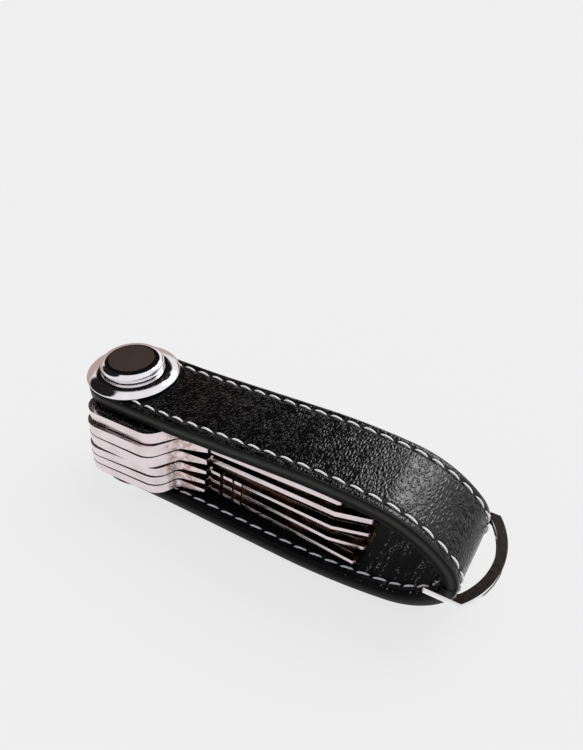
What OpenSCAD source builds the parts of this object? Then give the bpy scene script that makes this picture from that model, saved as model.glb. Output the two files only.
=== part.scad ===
// Key organizer: a folded leather strap clamped on a screw post that carries six keys.
// All sizes are in millimetres. The origin is on the screw axis, at the foot of the post.
// +X runs from the screw towards the fold, +Z is up.

/* [Strap] */
// Width of the strap
strap_w = 18; // [14:1:24]
// Thickness of the grained outer leather
outer_t = 1.3; // [0.8:0.1:2]
// Thickness of the stiffener board
board_t = 0.6; // [0.3:0.1:1]
// Thickness of the inner leather
lining_t = 1.2; // [0.6:0.1:2]
// Length of the flat stretch from the screw axis to the end of the clamp
seat_len = 9.5; // [8:0.5:12]
// Length over which the strap bends up from the clamp
lift_len = 9; // [6:1:14]
// Length of the straight stretch of the top strap
top_run = 20.8; // [14:0.2:34]
// Length of the crown, where the top strap turns down
crown_len = 18; // [12:1:22]
// Radius of the upper corner of the fold
upper_r = 22; // [18:1:24]
// Radius of the lower corner of the fold
lower_r = 16.8; // [14:0.1:18]
// Radius of the curved sole
sole_r = 102; // [70:1:130]

/* [Strap angles] */
// Rise of the top strap away from the screw
rise_deg = 2.5; // [1:0.1:3]
// Slope of the top strap at the end of the crown
crown_deg = 6.4; // [5:0.1:9]
// Slope where the tight nose of the fold starts
nose_in_deg = 46.5; // [42:0.5:50]
// Slope where the tight nose of the fold ends
nose_out_deg = 125; // [122:1:130]
// Slope where the sole starts
sole_in_deg = 169.4; // [167:0.1:171]
// Tilt of the bottom strap
sole_tilt_deg = 1.8; // [1:0.1:2.5]

/* [Stitching] */
// Distance between stitches
stitch_pitch = 3.34; // [2.8:0.02:4]
// Visible length of one stitch
stitch_len = 2.5; // [1.8:0.1:2.7]
// Width of the thread
thread_w = 0.6; // [0.4:0.05:0.8]
// Height of the thread above the leather
thread_h = 0.2; // [0.15:0.05:0.35]
// Distance from the strap edge to the thread
stitch_margin = 2; // [1.6:0.1:2.6]
// Way along the strap from the screw axis to the first stitch of the near row
near_start = 6.3; // [5.5:0.1:8]
// Way along the strap from the screw axis to the first stitch of the far row
far_start = 5.5; // [5:0.1:8]

/* [Clamp] */
// Diameter of the barrel that the keys turn on
post_d = 5; // [4:0.1:6]
// Diameter of the screw shank
shank_d = 3.4; // [2.5:0.1:3.6]
// Length of the screw shank in the barrel
shank_len = 12; // [8:1:16]
// Distance that the top flange stands out beside the strap
flange_over = 0.2; // [-0.5:0.1:0.5]
// Height of the top flange
flange_h = 1.75; // [1.4:0.05:2]
// Height of the flange edge
flange_edge_h = 0.3; // [0.2:0.05:0.5]
// Room under the rim of the top flange, which is dished
flange_lift = 0.6; // [0:0.05:0.7]
// Radius of the flat middle of the top flange
flange_flat_r = 6.6; // [6.4:0.1:7.2]
// Distance that the lower flange stands in from the strap's sides
foot_flange_in = 0; // [0:0.1:1]
// Thickness of the lower flange
foot_flange_t = 0.5; // [0.4:0.05:1]
// Radius of the foot of the barrel
foot_r = 6.5; // [5.5:0.1:7.5]
// Thickness of the foot of the barrel
foot_t = 0.6; // [0.5:0.05:1.2]
// Radius of the button head at its widest
button_r = 6.3; // [5.8:0.1:6.8]
// Radius of the flat top of the button head
button_flat_r = 4.9; // [4:0.1:5.2]
// Height of the button head
button_h = 1.9; // [1.6:0.1:2.8]
// Thickness of the ring under the button head
lock_t = 0.2; // [0.15:0.05:0.5]
// Outer radius of the ring under the button head
lock_r = 5.6; // [4.6:0.1:5.7]

/* [Keys] */
// Thickness of the three upper keys
upper_key_t = 2.5; // [2:0.05:2.6]
// Thickness of the three lower keys
lower_key_t = 1.95; // [1.7:0.05:2.4]
// Space between neighbouring keys
key_gap = 0.3; // [0.2:0.05:0.5]
// Space between the top strap end and the first key
top_space = 0.45; // [0.4:0.05:1]
// Space between the last key and the lower strap end
bottom_space = 1.1; // [0.6:0.1:1.6]
// Outer diameter of the washers between the keys
washer_d = 9; // [7:0.5:10]
// Length of a key from the screw axis to its tip
key_reach = 55.2; // [50:0.2:57]
// Length of the bow behind the screw axis
bow_back = 5.5; // [5:0.1:7]
// Half width of the bow
bow_hw = 11.4; // [10:0.1:12]
// Half width of the blade
blade_hw = 4.4; // [3.8:0.1:4.6]
// Distance from the screw axis to the shoulder stop
shoulder_x = 20.8; // [19:0.1:22]
// Depth of the deepest cut in a blade
cut_depth = 2.4; // [1.5:0.1:2.8]
// Depth of the milled grooves in the blade faces
groove_depth = 0.5; // [0.3:0.05:0.6]

/* [D-ring] */
// Thickness of the ring plate
ring_t = 1.3; // [1:0.1:1.6]
// Width of the ring's bow seen from above
ring_w = 1.8; // [1.5:0.05:2.2]
// Width of the ring's arms and bar seen from above
arm_w = 1.4; // [1.2:0.05:1.8]
// Radius of the outer edge of the ring's bow
ring_r = 17.4; // [15:0.1:20]
// Drop of the ring below the middle of the fold
ring_drop = 0.8; // [0:0.1:1]

/* [Hidden] */
// Clearance of the screw shank in the barrel, on the radius
thread_fit = 0.05;
// Clearance of a key or washer on the barrel, on the radius
post_fit = 0.08;
// Clearance of a fixed piece round the barrel or shank, on the radius
loose_fit = 0.2;
// Clearance between a washer and the keys on both sides of it
slip = 0.02;
// Clearance of the ring outside the strap: arm to edge, and bow to fold
ring_fit = 0.3;
// Clearance between the ring's bar and the lining, with room for the thread
bar_fit = 0.5;
// Clearance between the thread and the flanges
thread_gap = 0.1;
// Clearance between the thread and the leather that it lies on
thread_seat = 0.02;
// Room between the barrel's end and the top flange
barrel_gap = 0.3;
// Overrun of a cut past the face that it opens
over = 1;
// Steps of the strap's bends and of fillets
bend_step_deg = 3;
bend_step = 2;
fillet_step_deg = 15;

strap_t = outer_t + board_t + lining_t;
flange_r = strap_w / 2 + flange_over;
foot_flange_r = strap_w / 2 - foot_flange_in;

// Places along the stack, from the foot up
n_keys = 6;
n_lower = 3;
seat_z = foot_t + foot_flange_t;
last_key_z = seat_z + strap_t + bottom_space;
function key_t(n) = n > n_keys - n_lower ? lower_key_t : upper_key_t;
function key_z(n) = n == n_keys ? last_key_z : key_z(n + 1) + key_t(n + 1) + key_gap;
top_inner_z = key_z(1) + key_t(1) + top_space;
top_z = top_inner_z + strap_t;
button_z = top_z + flange_h + lock_t;

// The strap's outer face is a chain of stretches, each [length, turn].
// The radius of the nose and the length of the bottom run follow from the height of the stack
// and from the need to come back to the screw axis.
function arc_len(r, turn) = r * turn * PI / 180;
function arc_r(len, turn) = len / (turn * PI / 180);
function arc_dx(r, a, b) = r * (sin(b) - sin(a));
function arc_dz(r, a, b) = r * (cos(b) - cos(a));
sole_deg = 180 + sole_tilt_deg;
lift_r = arc_r(lift_len, -rise_deg);
crown_r = arc_r(crown_len, crown_deg + rise_deg);
settle_r = arc_r(lift_len, -sole_tilt_deg);
known_x = seat_len + arc_dx(lift_r, 0, -rise_deg) + top_run * cos(rise_deg)
    + arc_dx(crown_r, -rise_deg, crown_deg) + arc_dx(upper_r, crown_deg, nose_in_deg)
    + arc_dx(lower_r, nose_out_deg, sole_in_deg) + arc_dx(sole_r, sole_in_deg, sole_deg)
    + arc_dx(settle_r, sole_deg, 180) - seat_len;
known_z = arc_dz(lift_r, 0, -rise_deg) + top_run * sin(rise_deg)
    + arc_dz(crown_r, -rise_deg, crown_deg) + arc_dz(upper_r, crown_deg, nose_in_deg)
    + arc_dz(lower_r, nose_out_deg, sole_in_deg) + arc_dz(sole_r, sole_in_deg, sole_deg)
    + arc_dz(settle_r, sole_deg, 180);
nose_x_share = sin(nose_out_deg) - sin(nose_in_deg);
nose_z_share = cos(nose_out_deg) - cos(nose_in_deg);
nose_r = (seat_z - top_z - known_z - tan(sole_deg) * known_x)
    / (nose_z_share + tan(sole_deg) * nose_x_share);
bottom_run = (known_x + nose_r * nose_x_share) / -cos(sole_deg);
STRETCHES = [
    [seat_len, 0],
    [lift_len, -rise_deg],
    [top_run, 0],
    [crown_len, crown_deg + rise_deg],
    [arc_len(upper_r, nose_in_deg - crown_deg), nose_in_deg - crown_deg],
    [arc_len(nose_r, nose_out_deg - nose_in_deg), nose_out_deg - nose_in_deg],
    [arc_len(lower_r, sole_in_deg - nose_out_deg), sole_in_deg - nose_out_deg],
    [arc_len(sole_r, sole_deg - sole_in_deg), sole_deg - sole_in_deg],
    [bottom_run, 0],
    [lift_len, -sole_tilt_deg],
    [seat_len, 0]];
NOSE = 5;

// Place on the outer face after way s: [x, z, slope below the horizontal]
function step_on(at, len, turn) = turn == 0
    ? [at[0] + len * cos(at[2]), at[1] - len * sin(at[2]), at[2]]
    : let (r = arc_r(len, turn))
      [at[0] + arc_dx(r, at[2], at[2] + turn), at[1] + arc_dz(r, at[2], at[2] + turn), at[2] + turn];
function place(s, i = 0, at = [0, top_z, 0]) =
    let (len = STRETCHES[i][0], turn = STRETCHES[i][1])
    i == len(STRETCHES) - 1 || s <= len
        ? step_on(at, s, turn * s / len)
        : place(s - len, i + 1, step_on(at, len, turn));
function way_to(i) = i == 0 ? 0 : way_to(i - 1) + STRETCHES[i - 1][0];
strap_len = way_to(len(STRETCHES));

// Steps of one stretch: one where it is straight, and short ones where it bends
function n_steps(stretch) = stretch[1] == 0 ? 1
    : ceil(max(abs(stretch[1]) / bend_step_deg, stretch[0] / bend_step));

// Ways at which the strap's outline has a point
WAYS = concat(
    [for (i = [0 : len(STRETCHES) - 1])
        for (k = [0 : n_steps(STRETCHES[i]) - 1])
            way_to(i) + STRETCHES[i][0] * k / n_steps(STRETCHES[i])],
    [strap_len]);
FACE = [for (s = WAYS) place(s)];

// A place moved by d towards the inside of the loop
function inward(p, d) = [p[0] - d * sin(p[2]), p[1] - d * cos(p[2])];
strap_end = strap_w / 2;
// Outline of a layer between two depths below the outer face, seen from the side
function layer_outline(d0, d1) = concat(
    [[-strap_end, top_z - d0]],
    [for (p = FACE) inward(p, d0)],
    [[-strap_end, seat_z + d0], [-strap_end, seat_z + d1]],
    [for (i = [len(FACE) - 1 : -1 : 0]) inward(FACE[i], d1)],
    [[-strap_end, top_z - d1]]);

// Corners [x, y, radius] of a closed outline, with round ones as arcs
function unit(v) = v / norm(v);
function fillet(a, b, c, r) = r == 0 ? [b] :
    let (u = unit(a - b), v = unit(c - b), half = acos(u * v) / 2,
         centre = b + unit(u + v) * r / sin(half),
         from = b + u * r / tan(half) - centre, to = b + v * r / tan(half) - centre,
         turn = 180 - 2 * half, n = max(2, ceil(turn / fillet_step_deg)),
         way = sign(from[0] * to[1] - from[1] * to[0]))
    [for (k = [0 : n]) let (a = way * turn * k / n)
        centre + [from[0] * cos(a) - from[1] * sin(a), from[0] * sin(a) + from[1] * cos(a)]];
function flat2(p) = [p[0], p[1]];
function rounded(pts) = let (n = len(pts)) [for (i = [0 : n - 1])
    each fillet(flat2(pts[(i + n - 1) % n]), flat2(pts[i]), flat2(pts[(i + 1) % n]), pts[i][2])];
// Outline from its far half and its near half, which is given as if it lay on the far side too
function both_sides(far, near) = concat(far,
    [for (i = [len(near) - 1 : -1 : 0]) [near[i][0], -near[i][1], near[i][2]]]);

// Ring in the fold: its bar slides round inside the nose, so the ring swings about the nose's centre
apex_way = way_to(NOSE) + arc_len(nose_r, 90 - nose_in_deg);
apex = place(apex_way);
swing_x = apex[0] - nose_r;
swing_z = apex[1];
ring_z = swing_z - ring_drop;
bar_front = swing_x
    + sqrt(pow(nose_r - strap_t - bar_fit, 2) - pow(ring_drop + ring_t / 2, 2));
ring_hw = strap_w / 2 + ring_fit + arm_w;
ring_cx = apex[0] + ring_fit - sqrt(pow(ring_r - ring_w, 2) - pow(strap_w / 2, 2));

// Stitches
stitch_y = strap_w / 2 - stitch_margin;
function n_stitches(start) = floor((strap_len - 2 * start) / stitch_pitch) + 1;

// Details of a key
corner_r = 4;
neck_r = 1.5;
waist_x = 14.9;
waist_hw = 6;
shoulder_hw = 4.9;
upper_bow_x = 11.3;
lower_bow_x = 13;
// Half width of each key's bow, as a share
bow_shares = [0.93, 1, 1, 1, 1, 1];
// A lower key's bow is wider at its back and narrower at its front than an upper key's
lower_flare = 0.7;
lower_taper = 0.95;
collar_w = 0.5;
collar_hw = 3.3;
// How far each key reaches, as a share
reach_shares = [0.87, 0.89, 1, 1, 1, 0.985];
// Half width of each blade on its near side, where the blanks are ground to different widths
near_shares = [1, 1.03, 0.87, 0.92, 0.81, 0.81];
tip_len = 7;
tip_hw = 2;
tip_r = 0.8;
// A shorter key ends bluntly
blunt_len = 0.6;
blunt_in = 0.4;
blunt_r = 0.3;
rim_w = 1.5;
stamp_depth = 0.2;
boss_r = 5.4;
// Turn of each key about the post, as the photograph shows them fanned
FAN_DEG = [0, 0.45, -0.8, -1.8, -3.3, -4];
// Steps milled along the near edge and round the tip, on both faces, leave a thinner land
step_w = 1.2;
upper_land_share = 0.48;
lower_land_share = 0.4;
// Small cuts in the near edge of the lower keys: [distance past the shoulder, width], as shares of
// the blade's length
guide_cut_shares = [[0.08, 0.023], [0.165, 0.014], [0.227, 0.01]];
guide_depth = 0.7;
blade_len = key_reach - shoulder_x;
// Cuts in the far edge
n_cuts = 6;
first_cut = 4;
cut_pitch = 3.9;
cut_flat = 1.1;
cut_flank_deg = 50;
// Depth of each cut of each key, as a share of the deepest
cut_shares = [
    [0.35, 0.8, 0.55, 1.0, 0.45, 0.25],
    [0.6, 0.3, 0.9, 0.5, 0.75, 0.4],
    [0.5, 1.0, 0.35, 0.65, 0.85, 0.3],
    [0.8, 0.45, 0.7, 0.3, 0.95, 0.5],
    [0.3, 0.65, 0.4, 0.9, 0.55, 0.35],
    [0.7, 0.35, 1.0, 0.6, 0.4, 0.55]];
groove_w = 1.6;
groove_y = 1.1;
groove_start = 2.2;

leather_colour = "#1b1b1d";
board_colour = "#5a4a3a";
lining_colour = "#101012";
thread_colour = "#e9e7e2";
chrome_colour = "#c4c6cc";
key_colour = "#d6c8c4";
washer_colour = "#3a3a3c";

$fn = 96;

// One layer of the strap, with round ends and the hole for the barrel
module strap_layer(d0, d1) {
    difference() {
        intersection() {
            rotate([90, 0, 0])
                linear_extrude(strap_w, center = true)
                    polygon(layer_outline(d0, d1));
            strap_plan();
        }
        cylinder(d = post_d + 2 * loose_fit, h = top_z + over);
    }
}

// The strap seen from above, as high as the whole loop
module strap_plan() {
    loop_h = top_z + strap_w;
    cylinder(r = strap_w / 2, h = loop_h);
    translate([0, -strap_w / 2, -over])
        cube([apex[0] + over, strap_w, loop_h + over]);
}

module outer_leather() {
    color(leather_colour) strap_layer(0, outer_t);
}

module stiffener() {
    color(board_colour) strap_layer(outer_t, outer_t + board_t);
}

module lining() {
    color(lining_colour) strap_layer(outer_t + board_t, strap_t);
}

// One stitch along X, lying on z = 0, with round ends
module stitch(len) {
    run = len - thread_w;
    linear_extrude(thread_h) {
        square([run, thread_w], center = true);
        for (side = [-1, 1])
            translate([side * run / 2, 0]) circle(d = thread_w, $fn = 12);
    }
}

// A row of stitches that stops at the rim of the flanges
module stitch_row(start, y) {
    difference() {
        whole_row(start, y);
        translate([0, 0, -over]) cylinder(r = flange_r + thread_gap, h = top_z + 2 * over);
    }
}

// A row of stitches on the outer face, and its other side on the inner face
module whole_row(start, y) {
    for (k = [0 : n_stitches(start) - 1]) {
        s = start + k * stitch_pitch;
        p = place(s);
        outside = inward(p, -thread_seat);
        before = inward(place(s - stitch_len / 2), strap_t + thread_seat);
        after = inward(place(s + stitch_len / 2), strap_t + thread_seat);
        run = after - before;
        middle = (before + after) / 2;
        translate([outside[0], y, outside[1]])
            rotate([0, p[2], 0]) stitch(stitch_len);
        translate([middle[0], y, middle[1]])
            rotate([0, atan2(-run[1], run[0]), 0]) rotate([180, 0, 0]) stitch(norm(run));
    }
}

module stitching_near() {
    color(thread_colour) stitch_row(near_start, -stitch_y);
}

module stitching_far() {
    color(thread_colour) stitch_row(far_start, stitch_y);
}

// Dished chrome washer: it rests on its flat middle, and its thin rim stands clear of the leather
module top_flange() {
    edge_top = flange_lift + flange_edge_h;
    fall = flange_h - edge_top;
    curve_w = flange_r - flange_flat_r;
    color(chrome_colour) translate([0, 0, top_z])
        rotate_extrude() polygon(concat(
            [[shank_d / 2 + loose_fit, 0], [flange_flat_r, 0],
                [flange_r, flange_lift], [flange_r, edge_top]],
            [for (a = [fillet_step_deg : fillet_step_deg : 90])
                [flange_flat_r + curve_w * cos(a), edge_top + fall * sin(a)]],
            [[shank_d / 2 + loose_fit, flange_h]]));
}

module lock_washer() {
    color(washer_colour) translate([0, 0, top_z + flange_h])
        ring_plate(lock_r, shank_d / 2 + loose_fit, lock_t);
}

module ring_plate(r, hole_r, t) {
    difference() {
        cylinder(r = r, h = t);
        translate([0, 0, -over]) cylinder(r = hole_r, h = t + 2 * over);
    }
}

// Button head with a shank that screws into the barrel
module locking_screw() {
    under_h = button_h / 9;
    side_h = button_h / 9;
    base_r = lock_r + (button_r - lock_r) / 2;
    dome_h = button_h - under_h - side_h;
    dome_w = button_r - button_flat_r;
    color(chrome_colour) translate([0, 0, button_z]) {
        rotate_extrude() polygon(concat(
            [[0, 0], [base_r, 0], [button_r, under_h], [button_r, under_h + side_h]],
            [for (a = [fillet_step_deg : fillet_step_deg : 90])
                [button_flat_r + dome_w * cos(a), under_h + side_h + dome_h * sin(a)]],
            [[0, button_h]]));
        translate([0, 0, -shank_reach]) cylinder(d = shank_d, h = shank_reach + under_h);
    }
}
barrel_top_z = top_z - barrel_gap;
shank_reach = button_z - barrel_top_z + shank_len;

// Barrel with a flat foot and a blind thread for the screw
module barrel_post() {
    end_room = 1;
    foot_chamfer = foot_t / 3;
    color(chrome_colour) difference() {
        union() {
            cylinder(d = post_d, h = barrel_top_z);
            rotate_extrude() polygon([[0, 0], [foot_r - foot_chamfer, 0], [foot_r, foot_chamfer],
                [foot_r, foot_t], [0, foot_t]]);
        }
        translate([0, 0, barrel_top_z - shank_len - end_room])
            cylinder(d = shank_d + 2 * thread_fit, h = shank_len + end_room + over);
    }
}

module bottom_flange() {
    edge = foot_flange_t / 2;
    hole_r = post_d / 2 + loose_fit;
    color(chrome_colour) translate([0, 0, foot_t])
        rotate_extrude() polygon([[hole_r, 0], [foot_flange_r - edge, 0], [foot_flange_r, edge],
            [foot_flange_r, foot_flange_t], [hole_r, foot_flange_t]]);
}

module top_spacer() {
    color(washer_colour) translate([0, 0, top_inner_z - top_space + slip])
        ring_plate(washer_d / 2, post_d / 2 + post_fit, top_space - slip);
}

module bottom_spacer() {
    color(washer_colour) translate([0, 0, seat_z + strap_t])
        ring_plate(washer_d / 2, post_d / 2 + post_fit, bottom_space - slip);
}

// Washer between key n and the key below it
module key_washer(n) {
    color(washer_colour) translate([0, 0, key_z(n) - key_gap + slip])
        ring_plate(washer_d / 2, post_d / 2 + post_fit, key_gap - 2 * slip);
}

// Half outline of a key whose blade has half width hw on that side: bow, waist, neck up to the
// shoulder stop, blade and tip
function is_lower(n) = n > n_keys - n_lower;
function reach_of(n) = reach_shares[n - 1] * key_reach;
function near_hw(n) = near_shares[n - 1] * blade_hw;
function front_hw(n) = bow_shares[n - 1] * bow_hw - (is_lower(n) ? lower_taper : 0);
function back_hw(n) = bow_shares[n - 1] * bow_hw + (is_lower(n) ? lower_flare : 0);
function front_x(n) = is_lower(n) ? lower_bow_x : upper_bow_x;
function tip_half(n, hw) = reach_shares[n - 1] < 1
    ? [[reach_of(n) - blunt_len, hw, blunt_r], [reach_of(n), hw - blunt_in, blunt_r]]
    : [[reach_of(n) - tip_len, hw, tip_r], [reach_of(n), tip_hw, tip_r]];
function key_half(n, hw) = concat(
    [[-bow_back, back_hw(n), corner_r], [front_x(n), front_hw(n), corner_r],
     [waist_x, waist_hw, neck_r], [shoulder_x, shoulder_hw, 0], [shoulder_x, collar_hw, 0],
     [shoulder_x + collar_w, collar_hw, 0], [shoulder_x + collar_w, hw, 0]],
    tip_half(n, hw));

// A cut across the far edge of a blade, as deep as the given share says
module bitting_cut(share) {
    depth = share * cut_depth;
    spread = (depth + over) / tan(cut_flank_deg);
    polygon([[-cut_flat / 2, -depth], [cut_flat / 2, -depth],
        [cut_flat / 2 + spread, over], [-cut_flat / 2 - spread, over]]);
}

// The cuts of key n, as flat shapes
module key_cuts(n) {
    for (k = [0 : n_cuts - 1])
        translate([shoulder_x + first_cut + k * cut_pitch, blade_hw])
            bitting_cut(cut_shares[n - 1][k]);
    if (is_lower(n))
        for (cut = guide_cut_shares)
            translate([shoulder_x + cut[0] * blade_len, -blade_hw - over])
                square([cut[1] * blade_len, guide_depth + over + blade_hw - near_hw(n)]);
}

// Panel pressed into both faces of the bow, inside its rim and round the boss at the hole
module bow_panel(n) {
    hw = front_hw(n) - rim_w;
    end_x = front_x(n) - rim_w / 2;
    panel_r = corner_r - rim_w;
    difference() {
        corners = [[rim_w - bow_back, hw, panel_r], [end_x, hw, panel_r]];
        polygon(rounded(both_sides(corners, corners)));
        circle(r = boss_r);
    }
}

// Step along the near edge and round the tip: seen from the side it deepens along the neck, and
// seen from above it keeps its width
module edge_step(n) {
    land_share = is_lower(n) ? lower_land_share : upper_land_share;
    depth = key_t(n) * (1 - land_share) / 2;
    end_x = reach_of(n) + over;
    intersection() {
        rotate([90, 0, 0]) linear_extrude(2 * bow_hw, center = true)
            polygon([[waist_x, 0], [shoulder_x, -depth], [end_x, -depth],
                [end_x, over], [waist_x, over]]);
        translate([0, 0, -depth - over]) linear_extrude(depth + 2 * over) difference() {
            translate([waist_x, -bow_hw]) square([end_x - waist_x, 2 * bow_hw]);
            offset(delta = -step_w) step_plan(n);
        }
    }
}

// Outline that the step follows: the blade's near edge drawn on to the back, and the tip, with
// the far edge out of the step's reach
module step_plan(n) {
    far = [[-bow_back, bow_hw, 0], [reach_of(n), bow_hw, 0]];
    near = concat([[-bow_back, near_hw(n), 0]], tip_half(n, near_hw(n)));
    polygon([for (p = both_sides(far, near)) flat2(p)]);
}

// Groove milled along a blade and out of its tip
module blade_groove(n, y) {
    translate([shoulder_x + groove_start, y - groove_w / 2])
        square([reach_of(n) + over - shoulder_x - groove_start, groove_w]);
}

// Key n, lying in the stack and turned as it is fanned
module key(n) {
    t = key_t(n);
    color(key_colour) translate([0, 0, key_z(n)]) rotate(FAN_DEG[n - 1]) difference() {
        linear_extrude(t) difference() {
            polygon(rounded(both_sides(key_half(n, blade_hw), key_half(n, near_hw(n)))));
            key_cuts(n);
        }
        translate([0, 0, -over]) cylinder(d = post_d + 2 * post_fit, h = t + 2 * over);
        translate([0, 0, t - stamp_depth]) linear_extrude(stamp_depth + over) bow_panel(n);
        translate([0, 0, -over]) linear_extrude(stamp_depth + over) bow_panel(n);
        translate([0, 0, t - groove_depth]) linear_extrude(groove_depth + over)
            blade_groove(n, groove_y);
        translate([0, 0, -over]) linear_extrude(groove_depth + over)
            blade_groove(n, -groove_y);
        translate([0, 0, t]) edge_step(n);
        mirror([0, 0, 1]) edge_step(n);
    }
}

// Flat D-shaped ring: a straight bar in the fold, two arms and a bow
module d_ring() {
    color(chrome_colour) translate([0, 0, ring_z - ring_t / 2]) linear_extrude(ring_t)
        difference() {
            ring_area(bar_front - arm_w, ring_hw, ring_r);
            ring_area(bar_front, ring_hw - arm_w, ring_r - ring_w);
        }
}

// Area from a straight left side to a bow of radius r about the ring's centre
module ring_area(left_x, hw, r) {
    intersection() {
        translate([ring_cx, 0]) circle(r = r, $fn = 192);
        translate([left_x, -hw]) square([ring_cx + r - left_x, 2 * hw]);
    }
}

outer_leather();
stiffener();
lining();
stitching_near();
stitching_far();
top_flange();
lock_washer();
locking_screw();
barrel_post();
bottom_flange();
top_spacer();
bottom_spacer();
key_washer(1);  // washer_1
key_washer(2);  // washer_2
key_washer(3);  // washer_3
key_washer(4);  // washer_4
key_washer(5);  // washer_5
key(1);  // key_1
key(2);  // key_2
key(3);  // key_3
key(4);  // key_4
key(5);  // key_5
key(6);  // key_6
d_ring();
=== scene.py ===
"""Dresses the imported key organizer: folded strap, clamp, six keys and a D-ring, in a pale studio.

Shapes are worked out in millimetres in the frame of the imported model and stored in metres.
"""
from __future__ import annotations

import logging
import math
from collections.abc import Mapping, Sequence
from dataclasses import dataclass, field
from enum import Enum
from functools import cached_property

import bmesh
import bpy
import numpy as np
from mathutils import Matrix, Vector


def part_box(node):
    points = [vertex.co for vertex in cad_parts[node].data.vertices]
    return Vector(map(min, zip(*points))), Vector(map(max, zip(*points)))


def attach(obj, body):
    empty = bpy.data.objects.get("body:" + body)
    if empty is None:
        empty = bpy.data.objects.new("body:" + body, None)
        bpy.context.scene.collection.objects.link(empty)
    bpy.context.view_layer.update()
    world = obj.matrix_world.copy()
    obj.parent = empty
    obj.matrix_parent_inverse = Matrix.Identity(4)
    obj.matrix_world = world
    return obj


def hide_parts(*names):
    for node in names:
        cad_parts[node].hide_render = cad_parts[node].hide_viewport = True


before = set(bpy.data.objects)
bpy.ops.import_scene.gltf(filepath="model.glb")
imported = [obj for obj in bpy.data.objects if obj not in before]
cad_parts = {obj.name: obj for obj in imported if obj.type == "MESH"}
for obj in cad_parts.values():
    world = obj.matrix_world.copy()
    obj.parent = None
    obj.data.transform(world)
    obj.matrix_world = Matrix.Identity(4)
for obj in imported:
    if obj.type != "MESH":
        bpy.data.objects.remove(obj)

# Lengths in metres: a millimetre, points that count as one, and edges that count as none
MM = 0.001
SAME_PLACE = 2e-7
NO_LENGTH = 1e-8
Array = np.ndarray
Colour = tuple[float, float, float]
log = logging.getLogger("key_organizer")


class Side(Enum):
    """The two long sides of the strap: the near one lies towards -Y."""

    NEAR = -1
    FAR = 1


class Face(Enum):
    """The two faces of the strap: the grained outer one and the lined inner one."""

    OUTER = 1
    INNER = -1


# Shader writing


class Value:
    """A socket of a node tree, on which arithmetic adds Math nodes."""

    def __init__(self, shader: Shader, socket: bpy.types.NodeSocket) -> None:
        """Keeps the tree and the socket."""
        self.shader = shader
        self.socket = socket

    def _math(self, operation: str, first: object, second: object) -> Value:
        """One Math node on two values."""
        return self.shader.node("ShaderNodeMath", {"operation": operation}, {0: first, 1: second})

    def __add__(self, other: object) -> Value:
        """Sum."""
        return self._math("ADD", self, other)

    def __radd__(self, other: object) -> Value:
        """Sum, with the plain number first."""
        return self._math("ADD", other, self)

    def __sub__(self, other: object) -> Value:
        """Difference."""
        return self._math("SUBTRACT", self, other)

    def __rsub__(self, other: object) -> Value:
        """Difference, with the plain number first."""
        return self._math("SUBTRACT", other, self)

    def __mul__(self, other: object) -> Value:
        """Product."""
        return self._math("MULTIPLY", self, other)

    def __rmul__(self, other: object) -> Value:
        """Product, with the plain number first."""
        return self._math("MULTIPLY", other, self)

    def __truediv__(self, other: object) -> Value:
        """Quotient."""
        return self._math("DIVIDE", self, other)

    def sine(self) -> Value:
        """Sine of the value, in radians."""
        return self._math("SINE", self, 0.0)

    def largest(self, other: object) -> Value:
        """The larger of two values."""
        return self._math("MAXIMUM", self, other)


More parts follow.
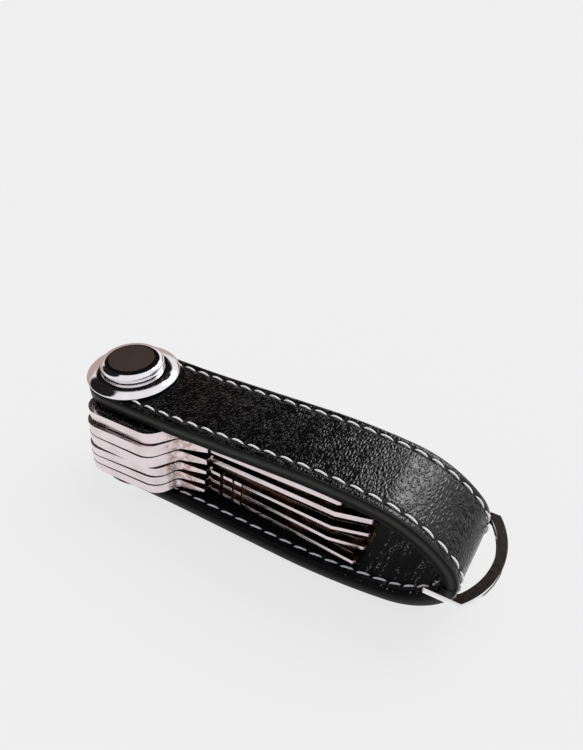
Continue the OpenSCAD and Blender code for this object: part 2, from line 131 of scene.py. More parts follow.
class Shader:
    """Node tree of a material or of the world, filled through one node-making method."""

    def __init__(self, tree: bpy.types.NodeTree) -> None:
        """Empties the tree.

        Args:
            tree: The node tree to fill.
        """
        self.tree = tree
        tree.nodes.clear()

    def node(self, kind: str, settings: Mapping[str, object] | None = None,
             sockets: Mapping[int | str, object] | None = None, output: int | str = 0
             ) -> Value | None:
        """Adds a node, sets its properties first and then its sockets.

        Args:
            kind: Blender's node type.
            settings: Properties of the node.
            sockets: A number, colour or linked Value for each input that is set.
            output: The output that the result stands for.

        Returns:
            The chosen output of the new node, or None where it has none.
        """
        made = self.tree.nodes.new(kind)
        for name, setting in (settings or {}).items():
            setattr(made, name, setting)
        for key, content in (sockets or {}).items():
            socket = made.inputs[key]
            if isinstance(content, Value):
                self.tree.links.new(content.socket, socket)
            else:
                socket.default_value = (*content, 1.0) if socket.type == "RGBA" else content
        return Value(self, made.outputs[output]) if len(made.outputs) else None

    def object_place(self) -> Value:
        """Object coordinates, which stay with the piece."""
        return self.node("ShaderNodeTexCoord", output="Object")

    def attribute(self, name: str) -> Value:
        """A number that the mesh carries on each vertex."""
        return self.node("ShaderNodeAttribute", {"attribute_name": name}, output="Fac")

    def strap_place(self) -> Value:
        """Way along the strap, distance across it and depth below its face, in millimetres."""
        marks = [self.attribute(name) for name in ("way", "across", "depth")]
        return self.node("ShaderNodeCombineXYZ", None, dict(enumerate(marks)))

    def stretched(self, place: Value, scale: tuple[float, float, float]) -> Value:
        """A place scaled by its own factor along each axis."""
        return self.node("ShaderNodeVectorMath", {"operation": "MULTIPLY"}, {0: place, 1: scale})

    def noise(self, place: Value, scale: float, detail: float = 3.0, rough: float = 0.55) -> Value:
        """Soft noise from 0 to 1.

        Args:
            place: Where the noise is read.
            scale: Lumps for each unit of the place.
            detail: Octaves of finer lumps.
            rough: How strong the finer lumps are.

        Returns:
            The noise value.
        """
        return self.node("ShaderNodeTexNoise", None,
                         {"Vector": place, "Scale": scale, "Detail": detail, "Roughness": rough})

    def cells(self, place: Value, scale: float) -> Value:
        """Distance from the border between pebble-like cells, 0 on the border."""
        return self.node("ShaderNodeTexVoronoi", {"feature": "DISTANCE_TO_EDGE"},
                         {"Vector": place, "Scale": scale}, "Distance")

    def smooth(self, value: Value, low: float, high: float, first: float = 0.0,
               last: float = 1.0) -> Value:
        """A value that goes smoothly from first at low to last at high."""
        return self.node("ShaderNodeMapRange", {"interpolation_type": "SMOOTHSTEP"},
                         {0: value, 1: low, 2: high, 3: first, 4: last})

    def blend(self, share: Value, first: object, second: object) -> Value:
        """Colour that goes from first to second as share goes from 0 to 1."""
        sockets = {0: share, 6: first, 7: second}
        return self.node("ShaderNodeMix", {"data_type": "RGBA"}, sockets, 2)

    def bump(self, height: Value, depth_mm: float) -> Value:
        """Normal of a surface whose relief is the height, from 0 to 1, times a depth."""
        return self.node("ShaderNodeBump", None, {"Height": height, "Distance": depth_mm * MM})

    def coat(self, colour: Value, roughness: Value, relief: Value, depth_mm: float,
             metallic: float = 0.0, specular: float = 0.5) -> None:
        """Ends the tree in a Principled shader.

        Args:
            colour: Base colour.
            roughness: Roughness.
            relief: Height of the relief, from 0 to 1.
            depth_mm: Depth of the relief.
            metallic: 1 for bare metal.
            specular: Strength of the gloss on what isn't metal.
        """
        self.finish(self.node("ShaderNodeBsdfPrincipled", None, {
            "Base Color": colour, "Roughness": roughness, "Metallic": metallic,
            "Specular IOR Level": specular, "Normal": self.bump(relief, depth_mm)}))

    def ray(self, kind: str) -> Value:
        """1 for rays of one kind, such as Camera or Glossy, otherwise 0."""
        return self.node("ShaderNodeLightPath", None, None, f"Is {kind} Ray")

    def seen(self) -> Value:
        """1 for rays that come from the camera, from a mirror or through glass, otherwise 0."""
        return self.ray("Camera").largest(self.ray("Glossy")).largest(self.ray("Transmission"))

    def finish(self, shader: Value, kind: str = "ShaderNodeOutputMaterial") -> None:
        """Links a shader to the tree's output."""
        self.node(kind, None, {"Surface": shader})


# Finishes


@dataclass(frozen=True)
class Finish:
    """A finish that can dress any number of pieces, made once."""

    name: str

    def material(self) -> bpy.types.Material:
        """Returns the material of this name, which is made on the first call."""
        known = bpy.data.materials.get(self.name)
        if known:
            return known
        made = bpy.data.materials.new(self.name)
        made.use_nodes = True
        self.write(Shader(made.node_tree))
        return made

    def write(self, s: Shader) -> None:
        """Writes the shader into an empty tree.

        Args:
            s: The tree.
        """
        raise NotImplementedError


@dataclass(frozen=True)
class PebbledLeather(Finish):
    """Black leather with flat pebbles and narrow valleys between them."""

    colour: Colour = (0.0008, 0.0008, 0.0009)
    worn: Colour = (0.0016, 0.0016, 0.0018)
    pebble_mm: float = 0.60
    drawn: float = 0.56
    valley: float = 0.36
    relief_mm: float = 0.070
    roughness: float = 0.22
    specular: float = 0.42

    def write(self, s: Shader) -> None:
        """Cells a pebble wide, drawn out across the strap, with finer lumps on them.

        Args:
            s: The tree.
        """
        place = s.strap_place()
        warp = s.noise(place, 0.5, 2.0)
        fine = s.noise(place, 4.0, 2.0)
        cells = s.cells(s.stretched(place, (1.0, self.drawn, 1.0)), 1.0 / self.pebble_mm)
        pebbles = s.smooth(cells, 0.0, self.valley)
        tops = s.smooth(pebbles * (0.6 + 0.8 * fine), 0.55, 1.0)
        s.coat(s.blend(tops, self.colour, self.worn), self.roughness + 0.1 * (fine - 0.5),
               pebbles * (0.3 + 0.9 * warp) + 0.2 * fine, self.relief_mm, specular=self.specular)


@dataclass(frozen=True)
class EdgePaint(Finish):
    """Black paint on the strap's cut edge, in faint waves, with a painted highlight along its upper
    part.
    """

    colour: Colour = (0.001, 0.001, 0.0011)
    # The second colour is a painted highlight: light that the rounded upper part of the edge would
    # catch.
    painted_highlight: Colour = (0.050, 0.048, 0.044)
    highlight_at: float = 1.05
    highlight_half: float = 1.0
    relief_mm: float = 0.05
    specular: float = 0.06

    def write(self, s: Shader) -> None:
        """Waves along the strap; the painted highlight fades on both sides of its depth.

        Args:
            s: The tree.
        """
        depth = s.attribute("depth")
        wavy = s.noise(s.stretched(s.strap_place(), (0.25, 1.0, 1.4)), 0.9, 2.0)
        high = self.highlight_at - self.highlight_half
        low = self.highlight_at + self.highlight_half
        # Painted highlight: a band round one depth of the edge, lighter where the waves rise.
        highlight_band = s.smooth(depth, high, self.highlight_at) * s.smooth(depth, low, self.highlight_at)
        s.coat(s.blend(highlight_band * (0.5 + 0.7 * wavy), self.colour, self.painted_highlight), 0.30 + 0.1 * wavy,
               wavy, self.relief_mm, specular=self.specular)


@dataclass(frozen=True)
class CreasedLining(Finish):
    """Smooth black lining leather with hairline creases across it."""

    colour: Colour = (0.0005, 0.0005, 0.0006)
    risen: Colour = (0.002, 0.002, 0.0022)
    # The light speck colour paints glints of light along the creases in the fold.
    painted_glint: Colour = (0.42, 0.42, 0.44)
    relief_mm: float = 0.05
    specular: float = 0.12

    def write(self, s: Shader) -> None:
        """Long lumps across the strap for the creases, a faint grain, and painted glints, specks of
        light along the creases in the fold.

        Args:
            s: The tree.
        """
        place = s.strap_place()
        crease = s.noise(s.stretched(place, (1.0, 0.16, 0.3)), 1.6, 4.0, 0.6)
        grain = s.smooth(s.cells(place, 3.2), 0.0, 0.25)
        lines = s.noise(s.stretched(place, (1.0, 0.14, 0.3)), 1.5, 2.0)
        # Painted glints: light specks where two noises peak, only in the fold.
        glint_specks = s.smooth(s.noise(place, 3.4, 2.0), 0.56, 0.64) * s.smooth(lines, 0.56, 0.62)
        dyed = s.blend(crease, self.colour, self.risen)
        s.coat(s.blend(glint_specks * s.attribute("creased"), dyed, self.painted_glint), 0.42 + 0.2 * crease,
               1.4 * crease + 0.3 * grain, self.relief_mm, specular=self.specular)


@dataclass(frozen=True)
class FibreBoard(Finish):
    """Brown board, whose edge is painted over."""

    light: Colour = (0.16, 0.11, 0.07)
    dark: Colour = (0.09, 0.055, 0.03)
    relief_mm: float = 0.01

    def write(self, s: Shader) -> None:
        """Fibres along the strap.

        Args:
            s: The tree.
        """
        fibres = s.noise(s.stretched(s.strap_place(), (0.6, 3.0, 3.0)), 1.2, 3.0)
        s.coat(s.blend(fibres, self.dark, self.light), 0.6 + 0.2 * fibres, fibres, self.relief_mm)


@dataclass(frozen=True)
class WaxedThread(Finish):
    """Off-white thread of twisted strands."""

    light: Colour = (0.94, 0.93, 0.93)
    dark: Colour = (0.62, 0.60, 0.61)
    twist: float = 9.0
    strands: float = 3.0
    relief_mm: float = 0.03

    def write(self, s: Shader) -> None:
        """Stripes that climb round the thread as they go along it, one for each strand.

        Args:
            s: The tree.
        """
        phase = s.attribute("along") * self.twist + s.attribute("turn") * self.strands
        stripes = 0.5 + 0.5 * phase.sine()
        fuzz = s.noise(s.object_place(), 4000.0, 3.0)
        # Painted shade: the dark colour runs along the low stripes, the grooves between the
        # strands, where the relief also sinks. The fuzz adds tone at random.
        tone = s.smooth(stripes * 0.7 + fuzz * 0.5, 0.25, 0.8)
        s.coat(s.blend(tone, self.dark, self.light), 0.55 + 0.2 * fuzz, stripes + 0.4 * fuzz,
               self.relief_mm)


@dataclass(frozen=True)
class PolishedMetal(Finish):
    """Plated metal: fine wipe marks change its roughness, and faint waves bend its reflections."""

    colour: Colour = (0.86, 0.855, 0.87)
    tint: Colour = (0.80, 0.76, 0.77)
    tint_from: float = 0.35
    roughness: float = 0.06
    marks: float = 0.08
    grain_mm: float = 0.003
    grain_scale: float = 2500.0

    def write(self, s: Shader) -> None:
        """Wipe marks over tinted metal.

        Args:
            s: The tree.
        """
        place = s.object_place()
        wiped, cloud, tinted = self._wiped(s, place)
        rough = self.roughness + self.marks * s.smooth(wiped * 0.6 + cloud * 0.4, 0.42, 0.7)
        s.coat(tinted, rough, self._grain(s, place), self.grain_mm, metallic=1.0)

    def _wiped(self, s: Shader, place: Value) -> tuple[Value, Value, Value]:
        """The marks that wiping leaves.

        Args:
            s: The tree.
            place: Where they are read.

        Returns:
            Wipe marks drawn out along X, rounder clouds, and the colour tinted by the clouds.
        """
        wiped = s.noise(s.stretched(place, (0.15, 1.0, 1.0)), 2200.0, 4.0)
        cloud = s.noise(place, 260.0, 3.0)
        return wiped, cloud, s.blend(s.smooth(cloud, self.tint_from, 0.75), self.colour, self.tint)

    def _grain(self, s: Shader, place: Value) -> Value:
        """Fine waves in the plating."""
        return s.noise(place, self.grain_scale, 4.0, 0.6)


@dataclass(frozen=True)
class KeyNickel(PolishedMetal):
    """Nickel-plated brass, rubbed through to brownish metal where the necks meet the bows."""

    colour: Colour = (0.87, 0.76, 0.79)
    tint: Colour = (0.76, 0.65, 0.67)
    tint_from: float = 0.40
    roughness: float = 0.15
    marks: float = 0.16
    grain_mm: float = 0.008
    grain_scale: float = 1500.0
    rubbed: Colour = (0.52, 0.36, 0.29)
    rubbed_x: tuple[float, float] = (13.2, 20.0)
    rubbed_fades: tuple[float, float] = (0.6, 2.6)

    def write(self, s: Shader) -> None:
        """Wiped nickel, with rubbed patches between two places along X.

        Args:
            s: The tree.
        """
        place = s.object_place()
        along = s.node("ShaderNodeSeparateXYZ", None, {0: place}) / MM
        first, last = self.rubbed_x
        fade_in, fade_out = self.rubbed_fades
        zone = s.smooth(along, first, first + fade_in) * s.smooth(along, last, last - fade_out)
        patch = s.smooth(s.noise(place, 900.0, 5.0, 0.7), 0.40, 0.62) * zone
        wiped, _, tinted = self._wiped(s, place)
        rough = self.roughness + self.marks * s.smooth(wiped, 0.42, 0.7) + 0.22 * patch
        s.coat(s.blend(patch, tinted, self.rubbed), rough, self._grain(s, place) + 3.0 * patch,
               self.grain_mm, metallic=1.0)


@dataclass(frozen=True)
class MilledBrass(Finish):
    """Bare brass in the milled steps of a key, with the cutter's marks across it, in painted light
    and shade: near-black as if in shade, brown where lit.
    """

    # The dark colour is painted shade in the milled steps. The light one is the brass's own brown
    # as if lit, partly painted light.
    dark: Colour = (0.005, 0.0025, 0.002)
    light: Colour = (0.26, 0.135, 0.078)
    relief_mm: float = 0.02

    def write(self, s: Shader) -> None:
        """Thin stripes across the key, broken up by patches drawn out along it, which paint light
        and shade.

        Args:
            s: The tree.
        """
        place = s.object_place()
        stripes = s.noise(s.stretched(place, (1.0, 0.12, 0.12)), 4200.0, 2.0)
        # Patches of painted light and shade, which also change the roughness.
        light_and_shade = s.noise(s.stretched(place, (0.3, 1.0, 1.0)), 420.0, 4.0, 0.6)
        tone = s.smooth(light_and_shade * 0.8 + stripes * 0.3, 0.48, 0.74)
        s.coat(s.blend(tone, self.dark, self.light), 0.34 + 0.2 * light_and_shade, stripes, self.relief_mm,
               metallic=1.0)


@dataclass(frozen=True)
class SlipWasher(Finish):
    """Dark, slightly greasy washer stock."""

    colour: Colour = (0.018, 0.018, 0.019)
    metallic: float = 0.0
    relief_mm: float = 0.004

    def write(self, s: Shader) -> None:
        """Fine noise in roughness and relief.

        Args:
            s: The tree.
        """
        speck = s.noise(s.object_place(), 3000.0, 3.0)
        tone = s.blend(speck, self.colour, tuple(1.8 * c for c in self.colour))
        s.coat(tone, 0.34 + 0.3 * speck, speck, self.relief_mm, metallic=self.metallic)


@dataclass(frozen=True)
class StudioPaper(Finish):
    """Pale paper on the floor, which shows a weak shadow, as under light from all sides."""

    colour: Colour = (0.862, 0.862, 0.862)
    plain: Colour = (0.868, 0.868, 0.868)
    even: float = 0.84

    def write(self, s: Shader) -> None:
        """Matt paper; where it is seen, an even white takes the greater share of it.

        Args:
            s: The tree.
        """
        mottle = s.noise(s.object_place(), 6.0, 2.0)
        tone = s.blend(mottle, self.colour, tuple(0.998 * c for c in self.colour))
        matt = s.node("ShaderNodeBsdfDiffuse", None, {"Color": tone})
        white = s.node("ShaderNodeEmission", None, {"Color": self.plain, "Strength": 1.0})
        s.finish(s.node("ShaderNodeMixShader", None, {0: s.seen() * self.even, 1: matt, 2: white}))


@dataclass(frozen=True)
class CardLight(Finish):
    """Studio card of one brightness that fades towards its oval rim."""

    colour: Colour = (1.0, 1.0, 1.0)
    strength: float = 1.0
    fade: float = 0.2

    def write(self, s: Shader) -> None:
        """Emission; towards and beyond the rim, the card turns see-through.

        Args:
            s: The tree.
        """
        glow = s.node("ShaderNodeEmission", None,
                      {"Color": self.colour, "Strength": self.strength})
        clear = s.node("ShaderNodeBsdfTransparent")
        solid = s.smooth(s.attribute("rim"), 0.0, self.fade)
        s.finish(s.node("ShaderNodeMixShader", None, {0: solid, 1: clear, 2: glow}))


# Mesh writing


def grid_quads(rows: int, columns: int, close_rows: bool = False,
               close_columns: bool = False) -> Array:
    """Corner numbers of the quads between neighbours in a grid of points.

    Args:
        rows: Rows of points.
        columns: Columns of points.
        close_rows: Joins the last row to the first.
        close_columns: Joins the last column to the first.

    Returns:
        Array of quads by four corners, row by row.
    """
    r = np.arange(rows if close_rows else rows - 1)[:, None]
    c = np.arange(columns if close_columns else columns - 1)[None, :]
    r_next = (r + 1) % rows
    c_next = (c + 1) % columns
    corners = [r * columns + c, r * columns + c_next, r_next * columns + c_next,
               r_next * columns + c]
    return np.stack(np.broadcast_arrays(*corners), -1).reshape(-1, 4)


def make_piece(name: str, points: Array, quads: Array, finish: Finish,
               marks: Mapping[str, Array] | None = None, sharp_deg: float = 42.0
               ) -> bpy.types.Object:
    """Puts a closed surface into a new object, with its doubles merged and its faces outwards.

    Args:
        name: Name of the object.
        points: Places in millimetres, with three numbers in the last axis.
        quads: Corner numbers, four for each face.
        finish: The finish of the whole piece.
        marks: Numbers for each vertex that the finish reads by name.
        sharp_deg: Edges that turn more than this stay sharp.

    Returns:
        The new object.
    """
    mesh = bpy.data.meshes.new(name)
    places = points.reshape(-1, 3)
    mesh.vertices.add(len(places))
    mesh.vertices.foreach_set("co", (places * MM).astype(np.float32).ravel())
    mesh.loops.add(quads.size)
    mesh.loops.foreach_set("vertex_index", quads.astype(np.int32).ravel())
    mesh.polygons.add(len(quads))
    mesh.polygons.foreach_set("loop_start", np.arange(0, quads.size, 4, dtype=np.int32))
    mesh.update(calc_edges=True)
    for mark, numbers in (marks or {}).items():
        mesh.attributes.new(mark, "FLOAT", "POINT").data.foreach_set(
            "value", numbers.astype(np.float32).ravel())
    close_surface(mesh)
    return dress(bpy.data.objects.new(name, mesh), finish, sharp_deg)


def close_surface(mesh: bpy.types.Mesh, flat_deg: float = 0.0) -> None:
    """Merges points that coincide, drops empty faces and turns the faces outwards.

    Args:
        mesh: The mesh to mend.
        flat_deg: Joins faces that turn less than this, if it isn't zero.
    """
    net = bmesh.new()
    net.from_mesh(mesh)
    bmesh.ops.remove_doubles(net, verts=net.verts, dist=SAME_PLACE)
    bmesh.ops.dissolve_degenerate(net, edges=net.edges, dist=NO_LENGTH)
    if flat_deg:
        bmesh.ops.dissolve_limit(net, angle_limit=math.radians(flat_deg), verts=net.verts,
                                 edges=net.edges)
    bmesh.ops.recalc_face_normals(net, faces=net.faces)
    net.to_mesh(mesh)
    net.free()


def dress(piece: bpy.types.Object, finish: Finish, sharp_deg: float) -> bpy.types.Object:
    """Links a piece into the scene, with its finish and smooth shading.

    Args:
        piece: The object.
        finish: Its finish.
        sharp_deg: Edges that turn more than this stay sharp.

    Returns:
        The same object.
    """
    bpy.context.scene.collection.objects.link(piece)
    piece.data.materials.clear()
    piece.data.materials.append(finish.material())
    piece.data.shade_smooth()
    piece.data.set_sharp_from_angle(angle=math.radians(sharp_deg))
    return piece


def settle(piece: bpy.types.Object, body: str, slot: str, *nodes: str) -> None:
    """Says what a finished piece rides on and which nodes it stands for, and hides those nodes.

    Args:
        piece: The object.
        body: The body that it moves with.
        slot: The record's material slot; not used.
        *nodes: The nodes that it replaces.
    """
    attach(piece, body)
    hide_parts(*nodes)
    log.info("%s stands for %s, %d faces", piece.name, ", ".join(nodes), len(piece.data.polygons))


def span(node: str) -> tuple[float, float]:
    """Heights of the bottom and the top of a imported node, in millimetres."""
    low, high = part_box(node)
    return low[2] / MM, high[2] / MM


def rounded(corners: Sequence[tuple[float, float, float]], steps: int = 5,
            hold: float = 0.03) -> Array:
    """Closed outline whose corners become arcs.

    The arc of a corner touches both sides; its centre lies on the line that halves the corner.
    A point is held on each side just before and after an arc, so flat faces shade flat.

    Args:
        corners: First coordinate, second coordinate and radius of each corner; 0 leaves it sharp.
        steps: Steps of an arc.
        hold: Distance of the held points from the arc.

    Returns:
        Array of points.
    """
    spots = np.array([c[:2] for c in corners])
    parts = []
    for i, (_, _, radius) in enumerate(corners):
        here = spots[i]
        if radius == 0:
            parts.append(here[None, :])
            continue
        back = spots[i - 1] - here
        on = spots[(i + 1) % len(spots)] - here
        back = back / np.linalg.norm(back)
        on = on / np.linalg.norm(on)
        half = math.acos(float(np.clip(back @ on, -1, 1))) / 2
        reach = radius / math.tan(half)
        middle = back + on
        centre = here + middle / np.linalg.norm(middle) * radius / math.sin(half)
        first = here + back * reach - centre
        last = here + on * reach - centre
        turn = math.atan2(first[0] * last[1] - first[1] * last[0], float(first @ last))
        angle = np.linspace(0, turn, steps + 1)[:, None]
        side = np.array([-first[1], first[0]])
        arc = centre + first * np.cos(angle) + side * np.sin(angle)
        parts += [(arc[0] + back * hold)[None, :], arc, (arc[-1] + on * hold)[None, :]]
    return np.concatenate(parts)


def lathe(name: str, profile: Array, finish: Finish, sides: int = 128,
          holed: bool = True) -> bpy.types.Object:
    """A profile of radius and height carried round the screw axis.

    A point of the surface lies at (radius cos a, radius sin a, height).

    Args:
        name: Name of the piece.
        profile: Radius and height of each point, in millimetres.
        finish: Its finish.
        sides: Steps round the axis.
        holed: Joins the profile's ends; otherwise both lie on the axis.

    Returns:
        The new object.
    """
    angle = np.arange(sides) * 2 * np.pi / sides
    radius = profile[:, :1]
    points = np.stack([radius * np.cos(angle), radius * np.sin(angle),
                       np.broadcast_to(profile[:, 1:], (len(profile), sides))], -1)
    return make_piece(name, points, grid_quads(len(profile), sides, holed, True), finish)


# Strap


@dataclass(frozen=True)
class FoldPath:
    """Outer face of the strap seen from the side, a chain of straight and round stretches.

    Along a stretch the slope grows evenly. So x and z follow the sine and cosine of the slope
    over the curvature, or a straight line where nothing turns.
    """

    top_z: float
    seat_z: float
    seat_len: float = 9.5
    lift_len: float = 9.0
    top_run: float = 20.8
    crown_len: float = 18.0
    upper_r: float = 22.0
    lower_r: float = 16.8
    sole_r: float = 102.0
    rise_deg: float = 2.5
    crown_deg: float = 6.4
    nose_in_deg: float = 46.5
    nose_out_deg: float = 125.0
    sole_in_deg: float = 169.4
    tilt_deg: float = 1.8

    @cached_property
    def chain(self) -> tuple[Array, Array, Array, Array, Array]:
        """The stretches, whose nose radius and bottom run close the loop on the screw axis.

        Returns:
            Way, x, z, slope and curvature at the start of each stretch.
        """
        slopes = np.radians([0, -self.rise_deg, -self.rise_deg, self.crown_deg, self.nose_in_deg,
                             self.nose_out_deg, self.sole_in_deg, 180 + self.tilt_deg,
                             180 + self.tilt_deg, 180, 180])
        before = np.concatenate([[0.0], slopes[:-1]])
        turns = slopes - before
        lengths = np.array([self.seat_len, self.lift_len, self.top_run, self.crown_len,
                            self.upper_r * turns[4], 0, self.lower_r * turns[6],
                            self.sole_r * turns[7], 0, self.lift_len, self.seat_len])
        bends = np.divide(turns, lengths, out=np.zeros(11), where=lengths > 0)
        dx, dz = self._run(lengths, before, bends)
        end = slopes[8]
        nose_x = math.sin(slopes[5]) - math.sin(before[5])
        nose_z = math.cos(slopes[5]) - math.cos(before[5])
        known_z = dz.sum()
        nose_r = (self.seat_z - self.top_z - known_z - math.tan(end) * dx.sum()) / (
            nose_z + math.tan(end) * nose_x)
        lengths[5] = nose_r * turns[5]
        lengths[8] = (dx.sum() + nose_r * nose_x) / -math.cos(end)
        bends[5] = 1 / nose_r
        dx, dz = self._run(lengths, before, bends)
        start = np.concatenate([[0.0], np.cumsum(lengths)])
        x = np.concatenate([[0.0], np.cumsum(dx)])[:-1]
        z = self.top_z + np.concatenate([[0.0], np.cumsum(dz)])[:-1]
        return start, x, z, before, bends

    @staticmethod
    def _run(run: Array, slope: Array, bend: Array) -> tuple[Array, Array]:
        """How far x and z move along stretches.

        Args:
            run: Length of each stretch.
            slope: Slope at its start.
            bend: Its curvature.

        Returns:
            Move along x and along z.
        """
        straight = bend == 0
        safe = np.where(straight, 1.0, bend)
        last = slope + bend * run
        dx = np.where(straight, run * np.cos(slope), (np.sin(last) - np.sin(slope)) / safe)
        dz = np.where(straight, -run * np.sin(slope), (np.cos(last) - np.cos(slope)) / safe)
        return dx, dz

    @property
    def length(self) -> float:
        """Way from the screw axis round the loop and back to it."""
        return float(self.chain[0][-1])

    def lay(self, way: Array, across: Array, depth: Array) -> Array:
        """Places in space of points on the strap.

        Args:
            way: Way along the outer face.
            across: Distance from the middle of the strap, along Y.
            depth: Depth below the outer face.

        Returns:
            Array of points, with three numbers in a new last axis.
        """
        start, x, z, slope, bend = self.chain
        i = np.clip(np.searchsorted(start, way, side="right") - 1, 0, len(x) - 1)
        dx, dz = self._run(way - start[i], slope[i], bend[i])
        turned = slope[i] + bend[i] * (way - start[i])
        return np.stack(np.broadcast_arrays(x[i] + dx - depth * np.sin(turned), across,
                                            z[i] + dz - depth * np.cos(turned)), -1)


@dataclass(frozen=True)
class Layer:
    """One layer of the strap between two depths, with its outer edge rounded on either face."""

    name: str
    node: str
    slot: str
    top: float
    bottom: float
    step: float
    rows: int
    top_round: float = 0.0
    bottom_round: float = 0.0


@dataclass
class Strap:
    """The folded strap: outer leather, board and lining, and a row of stitches along each edge."""

    path: FoldPath
    width: float = 18.0
    bore: float = 2.7
    outer_t: float = 1.3
    board_t: float = 0.6
    lining_t: float = 1.2
    corner: float = 0.95
    lining_corner: float = 0.75
    plain_half: float = 5.6
    row_at: float = 7.0
    groove_depth: float = 0.15
    groove_half: float = 0.42
    hole_depth: float = 0.34
    hole_half: float = 0.34
    pitch: float = 3.34
    starts: dict[Side, float] = field(default_factory=lambda: {Side.NEAR: 6.3, Side.FAR: 5.5})
    stitch_len: float = 2.85
    thread_half: float = 0.21
    thread_flat: float = 0.8
    blunt: float = 3.2
    arch: float = 0.34
    inner_arch: float = 0.204
    sunk: float = 0.17
    slant: float = -0.13
    covered_r: float = 8.6
    least_len: float = 0.9
    least_z: float = 0.03
    wave: float = 0.012
    crease: float = 0.16
    crease_pitch: float = 1.75
    fold_past_nose: float = 6.0
    bore_rows: int = 7
    fan_rows: int = 33
    inner_rows: int = 6
    corner_rows: int = 8
    side_rows: int = 4
    thread_rings: int = 9
    thread_sides: int = 8
    body: str = "strap"

    @property
    def half(self) -> float:
        """Half the width of the strap."""
        return self.width / 2

    @property
    def thickness(self) -> float:
        """Thickness of the three layers together."""
        return self.outer_t + self.board_t + self.lining_t

    def build(self) -> None:
        """Makes the three layers and the two rows of stitches."""
        board_top = self.outer_t
        lining_top = self.outer_t + self.board_t
        outer = Layer("leather_face", "outer_leather", "outer_leather", 0.0, board_top,
                      top_round=self.corner, step=0.30, rows=15)
        board = Layer("strap_board", "stiffener", "board", board_top, lining_top, step=0.9, rows=3)
        lining = Layer("leather_lining", "lining", "lining_leather", lining_top, self.thickness,
                       bottom_round=self.lining_corner, step=0.36, rows=12)
        self._layer(outer, PebbledLeather("pebbled_leather"))
        self._layer(board, FibreBoard("fibre_board"))
        self._layer(lining, CreasedLining("creased_lining"))
        self._stitches(Side.NEAR)
        self._stitches(Side.FAR)

    def _plan(self, step: float) -> tuple[Array, Array, Array, Array]:
        """Columns round the plan of the strap, a slot shape with a bore at both ends.

        Each column starts on the middle line and runs straight out to the edge: across the strap
        along both sides, and like the spokes of a fan round the two ends.

        Args:
            step: Distance between columns along the sides.

        Returns:
            Way where each column starts, its direction along and across, and the bore's radius
            there, which is zero away from the bores.
        """
        length = self.path.length
        into_bore = self.bore * np.sin(np.linspace(0, np.pi / 2, self.bore_rows))
        count = int((length - 2 * self.bore) / step)
        ways = np.concatenate([into_bore[:-1], np.linspace(self.bore, length - self.bore, count),
                               length - into_bore[-2::-1]])
        nearest = np.minimum(ways, length - ways)
        inner = np.sqrt(np.maximum(self.bore**2 - nearest**2, 0))
        fan = np.linspace(0, np.pi, self.fan_rows)[1:-1]
        zeros = np.zeros(len(ways))
        ones = np.ones(len(ways))
        spoke = np.full(len(fan), self.bore)
        start = np.concatenate([ways, np.full(len(fan), length), ways[::-1], np.zeros(len(fan))])
        along = np.concatenate([zeros, np.sin(fan), zeros, -np.sin(fan)])
        across = np.concatenate([-ones, -np.cos(fan), ones, np.cos(fan)])
        bore = np.concatenate([inner, spoke, inner[::-1], spoke])
        return start, along, across, bore

    def _section(self, layer: Layer) -> Array:
        """Rows of a layer's half section, from the middle out over the top face and back below.

        Args:
            layer: The layer.

        Returns:
            Five columns: share of the way to the plain part's edge, distance past that edge,
            depth, the face that a row lies on (1 top, -1 bottom, 0 neither) and how far it is
            round the edge.
        """
        rim = self.half - self.plain_half

        def half_face(depth: float, face: int, curve: float) -> Array:
            """Rows of one face, and then round its corner if that is curved.

            Args:
                depth: Depth of the face.
                face: 1 for the top, -1 for the bottom.
                curve: Radius of its corner.

            Returns:
                The five columns.
            """
            inner = np.linspace(0, 1, self.inner_rows)
            outer = np.linspace(0, rim - curve, layer.rows)[1:]
            rows = np.zeros((len(inner) + len(outer), 5))
            rows[:, 0] = np.append(inner, np.ones(len(outer)))
            rows[len(inner):, 1] = outer
            rows[:, 2:4] = depth, face
            if not curve:
                rows[-1, 4] = 1
                return rows
            angle = np.linspace(0, np.pi / 2, self.corner_rows)[1:]
            corner = np.stack([np.ones(len(angle)), rim - curve + curve * np.sin(angle),
                               depth + face * curve * (1 - np.cos(angle)), np.zeros(len(angle)),
                               angle / (np.pi / 2)], -1)
            return np.concatenate([rows, corner])

        side = np.zeros((self.side_rows - 2, 5))
        side[:] = 1, rim, 0, 0, 1
        side[:, 2] = np.linspace(layer.top + layer.top_round, layer.bottom - layer.bottom_round,
                                 self.side_rows)[1:-1]
        return np.concatenate([half_face(layer.top, 1, layer.top_round), side,
                               half_face(layer.bottom, -1, layer.bottom_round)[::-1]])

    def _groove(self, way: Array, across: Array) -> Array:
        """Depth of the stitch groove and of the needle holes in it.

        The groove is a bell curve across the row, and a hole one across and along between
        neighbouring stitches.

        Args:
            way: Way along the outer face.
            across: Distance from the middle of the strap.

        Returns:
            Depth at each point.
        """
        off = (np.abs(across) - self.row_at) / self.groove_half
        groove = self.groove_depth * np.exp(-off**2)
        start = np.where(across < 0, self.starts[Side.NEAR], self.starts[Side.FAR])
        along = (way - start) % self.pitch - self.pitch / 2
        off_hole = ((np.abs(across) - self.row_at)**2 + along**2) / self.hole_half**2
        inside = (way > start - self.pitch) & (way < self.path.length - start + self.pitch)
        return groove + inside * self.hole_depth * np.exp(-off_hole)

    def _waves(self, way: Array, across: Array) -> Array:
        """Depth of faint waves: three sines in different directions, whose sum stays over 0.

        Args:
            way: Way along the outer face.
            across: Distance from the middle of the strap.

        Returns:
            Depth at each point.
        """
        return self.wave * (3 + np.sin(0.61 * way + 0.35 * across)
                            + np.sin(0.37 * way - 0.52 * across + 1)
                            + np.sin(1.13 * way + 0.21 * across + 2))

